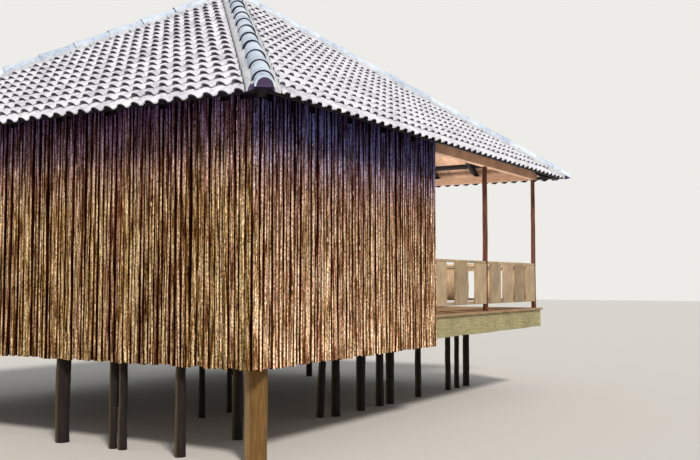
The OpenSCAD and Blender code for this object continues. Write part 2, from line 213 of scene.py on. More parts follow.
def islandBoxes(node):
    # the separate solids of a CAD node, each as its lowest and highest corner and its points
    build = bmesh.new()
    build.from_mesh(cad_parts[node].data)
    bmesh.ops.remove_doubles(build, verts=build.verts, dist=cornerReach)
    seen, boxes = set(), []
    for vert in build.verts:
        if vert in seen:
            continue
        group, todo = [], [vert]
        seen.add(vert)
        while todo:
            here = todo.pop()
            group.append(here.co.copy())
            for edge in here.link_edges:
                other = edge.other_vert(here)
                if other not in seen:
                    seen.add(other)
                    todo.append(other)
        low, high = (Vector([end(p[i] for p in group) for i in range(3)]) for end in (min, max))
        boxes.append((low, high, group))
    build.free()
    return boxes


# colours and nodes; of a Mix node, 0 is the amount, 6 and 7 are the colours and 2 is what comes out
multiply = {"data_type": "RGBA", "blend_type": "MULTIPLY"}
blend = {"data_type": "RGBA"}


def linear(colour):
    # an sRGB hex value, three shares or one share of grey, as a linear colour
    if isinstance(colour, str):
        parts = [int(colour[i:i + 2], 16) / 255 for i in (1, 3, 5)]
        colour = [c / 12.92 if c <= 0.04045 else ((c + 0.055) / 1.055) ** 2.4 for c in parts]
    elif isinstance(colour, (int, float)):
        colour = [colour] * 3
    return (*colour, 1.0)


def addNode(tree, kind, inputs=None, stops=(), **settings):
    # a node with its settings, a value or a link on each input, and a ramp's stops; gives its outputs
    node = tree.nodes.new("ShaderNode" + kind)
    for key, value in settings.items():
        setattr(node, key, value)
    for key, value in (inputs or {}).items():
        if isinstance(value, bpy.types.NodeSocket):
            tree.links.new(value, node.inputs[key])
        else:
            node.inputs[key].default_value = linear(value) if isinstance(value, str) else value
    if stops:
        ramp = node.color_ramp.elements
        ramp.remove(ramp[-1])
        ramp[0].position, ramp[0].color = stops[0][0], linear(stops[0][1])
        for place, colour in stops[1:]:
            ramp.new(place).color = linear(colour)
    return node.outputs


# camera, light and floor
view = {
    "place": (-11.50, -9.02, 1.81), "heading": (0.8587, 0.5124), "tiltDeg": 3.185,
    "lensMm": 47.86, "sensorMm": 36.0, "clipEnd": 300,
}
lens = bpy.data.cameras.new("photoCamera")
lens.lens = view["lensMm"]
lens.sensor_width = view["sensorMm"]
lens.clip_end = view["clipEnd"]
camera = bpy.data.objects.new("photoCamera", lens)
camera.location = view["place"]
camera.rotation_euler = (math.radians(90 + view["tiltDeg"]), 0,
                         math.atan2(view["heading"][1], view["heading"][0]) - math.pi / 2)
scene.collection.objects.link(camera)
scene.camera = camera
scene.view_settings.view_transform = "Standard"

light = {
    "skyHex": "#dfe6ee", "skyStrength": 0.5, "backHex": "#eeece8",
    "sunHex": "#fff8ef", "sunStrength": 2.7, "sunAngleDeg": 10,
    "sunFrom": (-0.52, -0.62, 0.72),  # towards the lamp: over the near corner
    "fillPower": 300, "fillWide": 3.2, "fillLong": 6.2, "fillPlace": (2.1, 0.0, 1.50),
    "floorHex": "#d9d6d0", "floorRoughness": 0.9, "floorSize": 160, "floorDrop": 0.002,
}
world = bpy.data.worlds.new("studio")
scene.world = world
world.use_nodes = True
world.node_tree.nodes.clear()
add = partial(addNode, world.node_tree)
path = add("LightPath")
seen = add("Math", {0: path["Is Camera Ray"], 1: path["Is Glossy Ray"]}, operation="MAXIMUM")[0]
seen = add("Math", {0: seen, 1: path["Is Transmission Ray"]}, operation="MAXIMUM")[0]
sky = add("Background", {"Color": light["skyHex"], "Strength": light["skyStrength"]})[0]
back = add("Background", {"Color": light["backHex"], "Strength": 1.0})[0]
add("OutputWorld", {"Surface": add("MixShader", {0: seen, 1: sky, 2: back})[0]})

lamp = bpy.data.lights.new("softSun", "SUN")
lamp.energy = light["sunStrength"]
lamp.color = linear(light["sunHex"])[:3]
lamp.angle = math.radians(light["sunAngleDeg"])
sun = bpy.data.objects.new("softSun", lamp)
sun.rotation_euler = Vector(light["sunFrom"]).to_track_quat("Z", "Y").to_euler()
scene.collection.objects.link(sun)

# a soft panel on the veranda floor, so that the underside of its roof is seen as plainly as the rest
panel = bpy.data.lights.new("softPanel", "AREA")
panel.shape = "RECTANGLE"
panel.size, panel.size_y = light["fillWide"], light["fillLong"]
panel.energy = light["fillPower"]
panel.color = linear(light["sunHex"])[:3]
fill = bpy.data.objects.new("softPanel", panel)
fill.location = light["fillPlace"]
fill.rotation_euler = (math.pi, 0, 0)
fill.visible_camera = False
scene.collection.objects.link(fill)

ground = start("studioFloor", bpy.ops.mesh.primitive_plane_add, size=light["floorSize"],
               location=(0, 0, -light["floorDrop"]))
bpy.ops.object.mode_set(mode="OBJECT")
floorMat = bpy.data.materials.new("paintedStudioFloor")  # matt paint: no gloss, keeps the shadow
floorMat.use_nodes = True
shader = floorMat.node_tree.nodes["Principled BSDF"]
shader.inputs["Base Color"].default_value = linear(light["floorHex"])
shader.inputs["Roughness"].default_value = light["floorRoughness"]
ground.data.materials.append(floorMat)
ground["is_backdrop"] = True
print("camera, light and floor")


# materials
def startMaterial(name, roughness, specular):
    mat = bpy.data.materials.new(name)
    mat.use_nodes = True
    shader = mat.node_tree.nodes["Principled BSDF"]
    shader.inputs["Roughness"].default_value = roughness
    shader.inputs["Specular IOR Level"].default_value = specular
    add = partial(addNode, mat.node_tree)
    return mat, add, add("TexCoord")["Object"]


def finishMaterial(mat, colour, height, strength, depthMm):
    tree = mat.node_tree
    shader = tree.nodes["Principled BSDF"]
    bump = addNode(tree, "Bump", {"Strength": strength, "Distance": depthMm / 1000, "Height": height})[0]
    tree.links.new(colour, shader.inputs["Base Color"])
    tree.links.new(bump, shader.inputs["Normal"])
    return mat


def noise(add, coords, scale, **values):
    # a cloudy pattern, so many spots per metre along each axis
    scaled = add("Mapping", {"Vector": coords, "Scale": scale})[0]
    return add("TexNoise", {"Vector": scaled, "Scale": 1.0, **values})["Fac"]


def tinted(add, colour, amount, place, stops):
    # one more layer: the colour times a ramp's colour, more or less strongly
    ramp = add("ValToRGB", {0: place}, stops)[0]
    return add("Mix", {0: amount, 6: colour, 7: ramp}, **multiply)[2]


def evenly(shades):
    return [(i / (len(shades) - 1), shade) for i, shade in enumerate(shades)]


def stickMaterial(name, shades, bleachAndLitSideHex, endHex, knotHex, along, sooty):
    # Unpeeled thin poles, cut green and nailed up: sun and rain have bleached their outer faces in
    # streaks, with trimmed knots and pale cut ends; painted shade darkens the joints and the eaves.
    mat, add, coords = startMaterial(name, 0.9, 0.0)
    tone = add("Attribute", attribute_name="tone")["Fac"]
    colour = add("ValToRGB", {0: tone}, evenly(shades))[0]
    # the bark's own colour drifts along a pole, from olive through tan to mauve
    colour = tinted(add, colour, 0.85, noise(add, coords, (17, 17, 2.6)), [
        (0.34, (0.62, 0.60, 0.34)), (0.46, (1.0, 0.98, 0.86)), (0.56, (1.06, 1.0, 1.0)),
        (0.68, (0.80, 0.62, 0.62))])
    # bark streaks 12 mm wide and about 350 mm long, the palest of them bleached
    streak = noise(add, coords, (80, 80, 2.4), Detail=3.0, Roughness=0.6)
    colour = tinted(add, colour, 0.96, streak, [
        (0.42, (0.10, 0.040, 0.018)), (0.475, (0.50, 0.40, 0.30)), (0.53, 1.0), (0.58, 1.5)])
    bleached = add("ValToRGB", {0: streak}, [(0.535, 0.0), (0.60, 0.85)])[0]
    colour = add("Mix", {0: bleached, 6: colour, 7: bleachAndLitSideHex}, **blend)[2]
    # flecks of loose bark about 11 mm wide and twice as long
    colour = tinted(add, colour, 0.85, noise(add, coords, (88, 88, 40)), [
        (0.38, (0.26, 0.18, 0.14)), (0.45, 0.92), (0.55, 1.05), (0.63, 2.1)])
    # knots where twigs were trimmed, about 25 mm wide, on some of the cells
    scaled = add("Mapping", {"Vector": coords, "Scale": (20, 20, 9)})[0]
    knot = add("TexVoronoi", {"Vector": scaled, "Scale": 1.0, "Randomness": 1.0})
    middle = add("ValToRGB", {0: knot["Distance"]}, [(0.16, 1.0), (0.27, 0.0)])[0]
    cell = add("SeparateColor", {0: knot["Color"]})[0]
    some = add("Math", {0: cell, 1: 0.84}, operation="GREATER_THAN")[0]
    knotted = add("Math", {0: middle, 1: some}, operation="MULTIPLY")[0]
    colour = add("Mix", {0: knotted, 6: colour, 7: knotHex}, **blend)[2]
    # painted shade between the poles, near black in the joints, and a painted highlight just beside
    # them; some joints are tight and others wide open
    facing = add("SeparateXYZ", {0: add("NewGeometry")["Normal"]})
    sideways = add("Math", {0: facing[along]}, operation="ABSOLUTE")[0]
    spread = add("Math", {0: tone, 1: 13.7}, operation="MULTIPLY")[0]
    spread = add("Math", {0: spread}, operation="FRACT")[0]
    spread = add("Math", {0: spread, 1: 0.36, 2: -0.17}, operation="MULTIPLY_ADD")[0]
    spread = add("Math", {0: sideways, 1: spread}, operation="ADD")[0]
    # (the pole at the wall's corner has no painted shade on its outer side: its tone is above 1)
    inner = add("Math", {0: tone, 1: 1.1}, operation="LESS_THAN")[0]
    colour = tinted(add, colour, inner, spread, [
        (0.15, 0.92), (0.40, 1.30), (0.54, (0.52, 0.40, 0.33)), (0.66, (0.14, 0.062, 0.042)),
        (0.80, (0.030, 0.010, 0.010))])
    # painted shade under the eaves: the poles get darker and bluer towards the top; for the right and back
    # walls the ramp also lightens the poles low down, which is painted light
    height = add("SeparateXYZ", {0: coords})["Z"]
    rise = add("MapRange", {"Value": height, "From Min": 0.95, "From Max": 3.65})[0]
    colour = tinted(add, colour, 1.0, rise, sooty)
    # cut lower ends show pale wood
    cut = add("Math", {0: facing["Z"], 1: -0.8}, operation="LESS_THAN")[0]
    colour = add("Mix", {0: cut, 6: colour, 7: endHex}, **blend)[2]
    return finishMaterial(mat, colour, streak, 0.6, 4.0)


def woodMaterial(name, hexes, grainMm, alongAxis, spread=0, paintedShadeOverRoom=False, bleachAndLitSideHex=None):
    # Sawn or hewn timber: grain runs along one axis, with darker weathered patches.
    mat, add, coords = startMaterial(name, 0.8, 0.3)
    scale = [1000 / grainMm] * 3
    scale[alongAxis] /= 18
    grain = noise(add, coords, scale, Detail=5.0, Roughness=0.6)
    colour = add("ValToRGB", {0: grain}, list(zip((0.30, 0.52, 0.72), hexes)))[0]
    patch = noise(add, coords, (3.5, 3.5, 3.5), Detail=3.0)
    colour = tinted(add, colour, 0.7, patch, [(0.35, 0.72), (0.65, 1.08)])
    if spread:  # weathered boards: each has its own shade over the grain
        tone = add("Attribute", attribute_name="tone")["Fac"]
        colour = tinted(add, colour, 1.0, tone, [(0.0, 1 - spread), (1.0, 1 + spread * 0.5)])
    if paintedShadeOverRoom:
        # painted shade: over the room and round it the roof's wood is darkened and tinted blue, and over
        # the veranda it stays pale
        place = add("SeparateXYZ", {0: coords})["X"]
        near = add("MapRange", {"Value": place, "From Min": 0.4, "From Max": -1.2})[0]
        colour = add("Mix", {0: near, 6: colour, 7: (0.050, 0.036, 0.125, 1)}, **multiply)[2]
    if bleachAndLitSideHex:  # painted light: the side that faces one fixed way is paler and greyer
        normal = add("NewGeometry")["Normal"]
        facing = add("VectorMath", {0: normal, 1: (-0.51, 0.86, 0.0)}, operation="DOT_PRODUCT")["Value"]
        share = add("MapRange", {"Value": facing, "From Min": 0.30, "From Max": 0.95, "To Max": 0.8})[0]
        colour = add("Mix", {0: share, 6: colour, 7: bleachAndLitSideHex}, **blend)[2]
    return finishMaterial(mat, colour, grain, 0.5, 1.0)


def clayMaterial(name, shades, lichenHex, dustHex, underShadeHex, shadeFacingBelow, paintedShadeHex="#352d3c"):
    # Old unglazed clay: pale bloom, grey lichen spots and a different fire on each tile, with painted shade
    # on the faces that look down and on the marked faces.
    mat, add, coords = startMaterial(name, 0.9, 0.2)
    tone = add("Attribute", attribute_name="tone")["Fac"]
    colour = add("ValToRGB", {0: tone}, evenly(shades))[0]
    # lichen spots 10 to 40 mm wide, and bloom in clouds of 200 mm
    for hexCode, scale, detail, roughness, low, high, share in (
            (lichenHex, 22, 6.0, 0.7, 0.52, 0.64, 0.6), (dustHex, 4, 4.0, 0.5, 0.42, 0.62, 0.5)):
        spots = noise(add, coords, [scale] * 3, Detail=detail, Roughness=roughness)
        spotted = add("ValToRGB", {0: spots}, [(low, 0.0), (high, 1.0)])[0]
        tinted = add("Mix", {0: share, 6: colour, 7: hexCode}, **blend)[2]
        colour = add("Mix", {0: spotted, 6: colour, 7: tinted}, **blend)[2]
    # painted shade: faces that look down are darker
    facing = add("SeparateXYZ", {0: add("NewGeometry")["Normal"]})["Z"]
    under = add("Math", {0: facing, 1: shadeFacingBelow}, operation="LESS_THAN")[0]
    colour = add("Mix", {0: under, 6: colour, 7: underShadeHex}, **multiply)[2]
    # painted shade on the faces that are marked for it
    shadeMarked = add("Attribute", attribute_name="sooty")["Fac"]
    colour = add("Mix", {0: shadeMarked, 6: colour, 7: paintedShadeHex}, **multiply)[2]
    # sandy surface, grit about 3 mm
    grit = noise(add, coords, (300, 300, 300))
    return finishMaterial(mat, colour, grit, 0.35, 1.5)


leftStickMat = stickMaterial(
    "barkPoleOlive", ["#8c6a40", "#b0905c", "#ccb080", "#9a7a54", "#d8c294", "#aa846e", "#be9c6a"],
    "#e2cca4", "#c3a67c", "#dcb894", "Y",
    # painted shade under the eaves, darker and bluer towards the top
    [(0.0, (0.95, 0.96, 0.94)), (0.60, (0.95, 0.94, 0.94)), (0.74, (0.82, 0.78, 1.06)),
     (0.88, (0.54, 0.48, 1.22)), (1.0, (0.27, 0.23, 1.00))])
# these poles are paler than the left wall's: partly their own tan colour, partly painted light
rightStickMat = stickMaterial(
    "barkPoleTan", ["#b48a64", "#d4ac82", "#e8c69e", "#c09a78", "#eed2ac", "#c89e86", "#d8b28a"],
    "#f0dcbc", "#d0b084", "#f0cca8", "X",
    # painted light low down, and painted shade under the eaves, darker and bluer towards the top
    [(0.0, (1.20, 1.22, 1.22)), (0.25, (1.0, 1.01, 1.02)), (0.50, (0.82, 0.81, 0.83)),
     (0.66, (0.66, 0.62, 0.74)), (0.80, (0.39, 0.43, 0.96)), (0.90, (0.21, 0.28, 1.04)),
     (1.0, (0.11, 0.15, 0.66))])
palePoleMat = woodMaterial("peeledPolePale", ["#5c431f", "#78572a", "#8e6c3e"], 14, 2,
                           bleachAndLitSideHex="#ac906a")
# near-black stilts: their dark bark made darker still with painted shade, and one side with painted light
darkPoleMat = woodMaterial("barkPoleDark", ["#100b0a", "#1f1614", "#372a20"], 16, 2,
                           bleachAndLitSideHex="#7a6a48")
verandaPoleMat = woodMaterial("peeledPoleReddish", ["#3c2018", "#6b4030", "#8a5a42"], 12, 2)
frameMatX, frameMatY, frameMatZ = (
    woodMaterial("sawnFrameTimber" + way, ["#33241a", "#4f3a29", "#6b5038"], 8, axis)
    for axis, way in enumerate(("Long", "Cross", "Upright")))
# near black and bluish: painted shade, so that the timber round the eaves looks like the shade under them
roofTimberMat = woodMaterial("roofTimberPaintedShade", ["#120f14", "#1f1a1e", "#302829"], 9, 0)
floorBoardMat = woodMaterial("weatheredFloorBoards", ["#8a6c4c", "#b4946e", "#cfb48e"], 9, 0, 0.35)
roofBoardMatY, roofBoardMatX = (
    woodMaterial(name, ["#b08c74", "#cca88e", "#e2c2aa"], 8, axis, 0.2, paintedShadeOverRoom=True)
    for name, axis in (("thinRoofBoards", 1), ("thinRoofBoardsEnd", 0)))
plateMat = woodMaterial("sawnWallPlate", ["#a8846c", "#c6a288", "#dab8a0"], 8, 1, paintedShadeOverRoom=True)
railBoardMat = woodMaterial("weatheredRailingBoards", ["#8c765a", "#b49c7c", "#d0bc9c"], 10, 2, 0.35)
rimMat = woodMaterial("weatheredRimBoards", ["#8a8058", "#b2a87c", "#ccc296"], 10, 0, 0.35)
tileMat = clayMaterial("weatheredClayTile", ["#c4c3cc", "#d1d0d9", "#dbdae2", "#e2e2e9", "#e9e9ef"],
                       "#7d7c84", "#f2f3f6", "#9e93aa", -0.64)
hipTileMat = clayMaterial("weatheredHipTile", ["#bccadc", "#ccdaea", "#dce8f4"],
                          "#6e727c", "#f2f6fc", "#59525d", -0.5)
mortarMat = clayMaterial("trowelledMortar", ["#c6c8cc", "#d6d8dc"],
                         "#83868a", "#e6e6e8", "#665a80", -0.05, "#614f73")
print("materials")

# the CAD nodes that keep their shape get their timber
kept = {
    "floor_bearers": frameMatX, "floor_joists": frameMatY, "sill_rails": frameMatX,
    "wall_rails": frameMatX, "wall_studs": frameMatZ, "door_frame": frameMatZ, "wall_plates": plateMat,
}
for nodeName, material in kept.items():
    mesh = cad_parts[nodeName].data
    mesh.materials.clear()
    mesh.materials.append(material)

# stick walls
sticks = {
    "sides": 10, "rings": 11, "shapes": 7, "taper": (0.86, 0.97), "swell": 0.05,
    "lean": (0.05, 0.03), "bend": (0.09, 0.05), "bendKept": 0.5, "smoothDeg": 50,
    "thinnest": 0.038, "thickest": 0.084, "overlap": (0.003, 0.016),
    "raggedLow": 0.012, "depth": 0.062, "proud": 0.009, "cornerTone": 1.5, "corner": 0.14,
    "rafterHalf": 0.03, "rafterStep": 0.79, "rafterGap": 0.006, "riseLeft": 0.10, "riseRight": 0.13,
}


def makeStickMaster(number):
    # one pole of unit radius and unit length: a round start pulled up ring by ring
    rng = random.Random(100 + number)
    stick = startDisc(f"stickMaster{number}", sticks["sides"])
    taper = rng.uniform(*sticks["taper"]) ** (1 / sticks["rings"])
    lean = [rng.uniform(-most, most) for most in sticks["lean"]]
    for _ in range(sticks["rings"]):
        lean = [last * sticks["bendKept"] + rng.uniform(-most, most)
                for last, most in zip(lean, sticks["bend"])]
        extrudeBy(*lean, 1 / sticks["rings"])
        size = taper * rng.uniform(1 - sticks["swell"], 1 + sticks["swell"])
        bpy.ops.transform.resize(value=(size, size, 1))
    faceOut(stick)
    smooth(stick, sticks["smoothDeg"])
    mesh = stick.data  # centre it again, so that it stands on its axis
    middle = sum((v.co for v in mesh.vertices), Vector()) / len(mesh.vertices)
    mesh.transform(Matrix.Translation((-middle.x, -middle.y, 0)))
    return stick


def buildStickWall(name, node, corner, along, outward, length, low, topAt, material, seed,
                   atCorner=False):
    # poles of mixed thickness side by side, their backs in line against the rails
    rng = random.Random(seed)
    widths, total = [], 0.0
    while total < length:
        widths.append(rng.uniform(sticks["thinnest"], sticks["thickest"]))
        total += widths[-1]
    fit = length / total
    turn = math.atan2(along[1], along[0])
    parts, place = [], 0.0
    for width in widths:
        width *= fit
        radius = width / 2 + rng.uniform(*sticks["overlap"]) / 2
        middle = place + width / 2
        place += width
        bulge = min(radius, sticks["depth"] / 2)  # the thickest are hewn flat at the back
        inward = sticks["depth"] - bulge - rng.uniform(0, sticks["proud"])
        x, y = (corner[i] + along[i] * middle - outward[i] * inward for i in (0, 1))
        bottom = low + rng.uniform(-1, 1) * sticks["raggedLow"]
        top = topAt(middle, radius)
        flip = rng.random() < 0.5
        spin = turn + rng.choice((0, math.pi))
        matrix = Matrix.Translation((x, y, top if flip else bottom)) @ Matrix.Rotation(spin, 4, "Z")
        if flip:
            matrix = matrix @ Matrix.Rotation(math.pi, 4, "X")
        matrix = matrix @ Matrix.Diagonal((radius, bulge, top - bottom, 1.0))
        tone = sticks["cornerTone"] if atCorner and not parts else rng.random()
        parts.append(placedCopy(rng.choice(stickMasters), matrix, tone))
    finishPiece(joinAll(parts, name), material, [node])
    print(name, len(widths), "sticks")


def wallTop(centreOffset, length, high, rise):
    # poles between the rafters run up to the boards, the others stop under the rafter
    def top(middle, radius):
        fromCentre = middle + centreOffset
        nearest = abs(fromCentre - round(fromCentre / sticks["rafterStep"]) * sticks["rafterStep"])
        blocked = nearest < sticks["rafterHalf"] + radius + sticks["rafterGap"]
        atCorner = middle < sticks["corner"] or middle > length - sticks["corner"]
        return high if blocked or atCorner else high + rise
    return top


stickMasters = [makeStickMaster(i) for i in range(sticks["shapes"])]
low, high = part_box("left_wall")
length = high.y - low.y
buildStickWall("leftStickWall", "left_wall", (low.x, high.y), (0, -1), (-1, 0), length, low.z,
               wallTop(-length / 2, length, high.z, sticks["riseLeft"]),
               leftStickMat, 11)
low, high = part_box("right_wall")
length = high.x - low.x
# the last pole of these two stands at the veranda, away from any corner of the roof
upTo = wallTop(low.x, length + 1, high.z, sticks["riseRight"])
for name, node, side, seed in (("rightStickWall", "right_wall", -1, 12),
                               ("backStickWall", "back_wall", 1, 13)):
    buildStickWall(name, node, (low.x, -side * low.y), (1, 0), (0, side), length, low.z, upTo,
                   rightStickMat, seed, True)
for name, node, sameAs, seed in (("doorWallNear", "door_wall_near", "door_wall_near", 14),
                                 ("doorWallFar", "door_wall_far", "door_wall_near", 15),
                                 ("overDoorSticks", "over_door_panel", "over_door_panel", 16)):
    low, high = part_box(sameAs)
    buildStickWall(name, node, (high.x, -high.y if node == "door_wall_far" else low.y), (0, 1), (1, 0),
                   high.y - low.y, low.z + sticks["raggedLow"], lambda middle, radius: high.z,
                   leftStickMat, seed)
removeAll(stickMasters)

# roof: every slope has its own frame, X along the eave, Y up the slope and Z off the slope
roof = {
    "halfLong": 4.525, "halfWide": 3.935, "eaveZ": 3.60, "rise": 2.72,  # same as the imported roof
    "boardEdge": 0.090, "boardWide": 0.15, "boardGap": 0.003, "boardThick": 0.018,
    "boardBelowPeak": 0.02, "boardHipGap": 0.002,
}
halfTurn = Matrix.Rotation(math.pi, 4, "Z")


def slopeFrame(side):
    # half length of the eave, length up the slope, pitch, and the matrix that puts it in place
    half, run = ((roof["halfLong"], roof["halfWide"]) if side == "right"
                 else (roof["halfWide"], roof["halfLong"]))
    pitch = math.atan2(roof["rise"], run)
    up, off = (0, math.cos(pitch), math.sin(pitch)), (0, -math.sin(pitch), math.cos(pitch))
    place = Matrix(((1, up[0], off[0], 0), (0, up[1], off[1], -run),
                    (0, up[2], off[2], roof["eaveZ"]), (0, 0, 0, 1)))
    if side == "left":
        place = Matrix.Rotation(-math.pi / 2, 4, "Z") @ place
    return half, run, math.hypot(run, roof["rise"]), pitch, place


def hipPlanes(half, run, slopeLength, pitch, back):
    # the two upright planes beside the hips, in the slope's frame, at a distance from the hip
    shift = back * math.hypot(half, run) / run
    return [(Vector((way * (half - shift), 0, 0)),
             Vector((way * slopeLength * math.cos(pitch), half * math.cos(pitch),
                     -half * math.sin(pitch))).normalized()) for way in (-1, 1)]


def turnedCopy(piece, name):
    # the far half of the roof repeats the near half, turned half round
    copy = copyOf(piece, halfTurn)
    copy.name = copy.data.name = name
    return copy


# roof tiles
tiles = {
    "cover": 0.19, "gauge": 0.25, "length": 0.31, "thick": 0.010,
    "arcSteps": 8, "panAt": (0.092, 0.116), "lipAt": 0.136, "lipHigh": 0.014,
    "steepFlank": 0.85, "longFlank": 1.45, "footCurve": 1.5,
    "lowHalf": 0.052, "topHalf": 0.040,  # half widths of the barrel at its two ends
    "lowCrown": {"left": 0.042, "right": 0.036},  # heights of the barrel above its pan
    "topCrown": {"left": 0.012, "right": 0.016},
    "lowLift": 0.020, "topLift": 0.002,  # the lower end lies on the course below
    "halfSlack": 0.002, "crownSlack": (-0.003, 0.002), "panSlack": 0.001,
    "shadeFrom": {"left": -0.06, "right": 0.02}, "shadeTo": 0.078,  # the part of the lower rim with painted shadow
    "shadeDepth": {"left": 0.70, "right": 1.0},
    "rimFacing": -0.7, "mouthFacing": -0.2, "cutFacing": 0.99,  # which way their faces look
    "start": 0.006, "hipCut": 0.181, "shapes": 4, "slack": 0.004, "turnDeg": 0.8, "smoothDeg": 40,
}


def makeTileMaster(number, side):
    rng = random.Random(300 + number)
    steps, length = tiles["arcSteps"], tiles["length"]
    columns = steps + len(tiles["panAt"]) + 1
    tile = start(f"tileMaster{number}", bpy.ops.mesh.primitive_grid_add,
                 x_subdivisions=columns, y_subdivisions=1, size=1.0)
    places = sorted({round(v.co.x, 4) for v in tile.data.vertices})
    for low in (True, False):
        half = tiles["lowHalf" if low else "topHalf"] + rng.uniform(-1, 1) * tiles["halfSlack"]
        crown = tiles["lowCrown" if low else "topCrown"][side] + rng.uniform(*tiles["crownSlack"])
        lift = tiles["lowLift" if low else "topLift"] + tiles["thick"]
        for k, x in enumerate(places):
            if k <= steps:
                across, up = math.cos(math.pi * (1 - k / steps)), math.sin(math.pi * k / steps)
                across *= half * tiles["longFlank" if across > 0 else "steepFlank"]
                goal = (across, lift + crown * (up ** tiles["footCurve"] if across > 0 else up))
            elif k < columns:
                goal = (tiles["panAt"][k - steps - 1], lift + rng.uniform(-1, 1) * tiles["panSlack"])
            else:
                goal = (tiles["lipAt"], lift + tiles["lipHigh"])
            end = -0.5 if low else 0.5
            moveVerts(tile, nearTo(Vector((x, end, 0))), (goal[0] - x, (0 if low else length) - end, goal[1]))
    applyModifier(tile, "clay", "SOLIDIFY", {"thickness": tiles["thick"], "offset": -1})
    smooth(tile, tiles["smoothDeg"])
    # painted shadow on part of each tile's lower rim; its span and depth are set per slope
    markPaintedShade(tile, lambda poly: poly.normal.y < tiles["rimFacing"]
              and tiles["shadeFrom"][side] < poly.center.x < tiles["shadeTo"], tiles["shadeDepth"][side])
    return tile


def layTiles(name, side, seed):
    rng = random.Random(seed)
    half, run, slopeLength, pitch, place = slopeFrame(side)
    tileMasters = [makeTileMaster(i, side) for i in range(tiles["shapes"])]
    planes = hipPlanes(half, run, slopeLength, pitch, tiles["hipCut"])
    edge = planes[1][0].x
    count = int(2 * half / tiles["cover"] / 2)
    cut, whole = [], []
    course = 0
    while tiles["start"] + course * tiles["gauge"] < slopeLength - tiles["length"]:
        v = tiles["start"] + course * tiles["gauge"]
        flat = Matrix.Identity(4)
        if course == 0:  # the lowest course lies on the boards
            flat[2][1] = tiles["lowLift"] / tiles["length"]
            flat[2][3] = -tiles["lowLift"]
        reachLow = edge - half * v / slopeLength
        reachTop = edge - half * (v + tiles["length"]) / slopeLength
        for i in range(-count, count + 1):
            x = i * tiles["cover"] + rng.uniform(-1, 1) * tiles["slack"]
            settle = rng.uniform(-1, 1) * tiles["slack"] if course else 0
            turn = math.radians(rng.uniform(-1, 1) * tiles["turnDeg"])
            tone, shape = rng.random(), rng.choice(tileMasters)
            left, right = x - tiles["lowHalf"], x + tiles["lipAt"]
            if left > reachLow or right < -reachLow:
                continue
            matrix = Matrix.Translation((x, v + settle, 0)) @ Matrix.Rotation(turn, 4, "Z") @ flat
            crosses = left < -reachTop or right > reachTop
            (cut if crosses else whole).append((shape, matrix, tone, course == 0))
        course += 1
    parts = []
    for i, (shape, matrix, tone, lowest) in enumerate(cut + whole):
        part = placedCopy(shape, matrix, tone)
        if lowest:  # painted shade inside the mouths at the eave
            markPaintedShade(part, lambda poly: poly.normal.z < tiles["mouthFacing"])
        if i < len(cut):
            for point, normal in planes:
                cutPiece(part, point, normal)
                # painted shade on the cut faces beside the hip, a dark line along the mortar bed's edge
                markPaintedShade(part, lambda poly: poly.normal.dot(normal) > tiles["cutFacing"])
        if len(part.data.polygons):
            parts.append(part)
        else:
            bpy.data.objects.remove(part)
    field = joinAll(parts, name)
    removeAll(tileMasters)
    field.data.transform(place)
    print(name, len(parts), "tiles in", course, "courses")
    return field


rightTiles = layTiles("rightTileField", "right", 21)
leftTiles = layTiles("leftTileField", "left", 22)
for piece, node in ((rightTiles, "tiles_right"), (leftTiles, "tiles_left"),
                    (turnedCopy(rightTiles, "backTileField"), "tiles_back"),
                    (turnedCopy(leftTiles, "endTileField"), "tiles_end")):
    finishPiece(piece, tileMat, [node])

# hips: half-round tiles lapped up each hip on a mortar bed
hips = {
    "lowRadius": 0.112, "topRadius": 0.092, "thick": 0.019, "length": 0.600, "gauge": 0.538,
    "count": 12, "first": 0.225, "end": 6.40, "arcSteps": 12, "rows": 3, "shapes": 3, "turnDeg": 0.7,
    "squash": 0.025, "slack": 0.003, "smoothDeg": 40, "rimFacing": -0.7,
    "axisHigh": 0.030,  # the hip tiles' axis above the boards
}
mortar = {
    # the bed's outline outwards from the hip: the part over the tiles, its heights above the boards,
    # and the part under the hip tiles, its heights above their axis
    "over": ((0.170, 0.006), (0.170, 0.048), (0.162, 0.060), (0.147, 0.066), (0.128, 0.070)),
    "under": ((0.117, -0.010), (0.103, 0.006)), "middle": 0.010, "sole": 0.004,
    "first": -0.30, "step": 0.07, "end": 0.12, "back": 0.12, "slant": 0.25, "smoothDeg": 45,
    "lumps": (0.07, 0.014, 0.5),
    "plugRadius": 0.085, "plugSides": 24, "plugBack": 0.004, "plugLong": 0.13, "plugLow": 0.05,
}
hipRun = math.hypot(roof["halfLong"], roof["halfWide"])
hipHeading = math.atan2(roof["halfWide"], roof["halfLong"])
hipRise = roof["rise"] / hipRun
pitchRight = math.atan2(roof["rise"], roof["halfWide"])
pitchLeft = math.atan2(roof["rise"], roof["halfLong"])


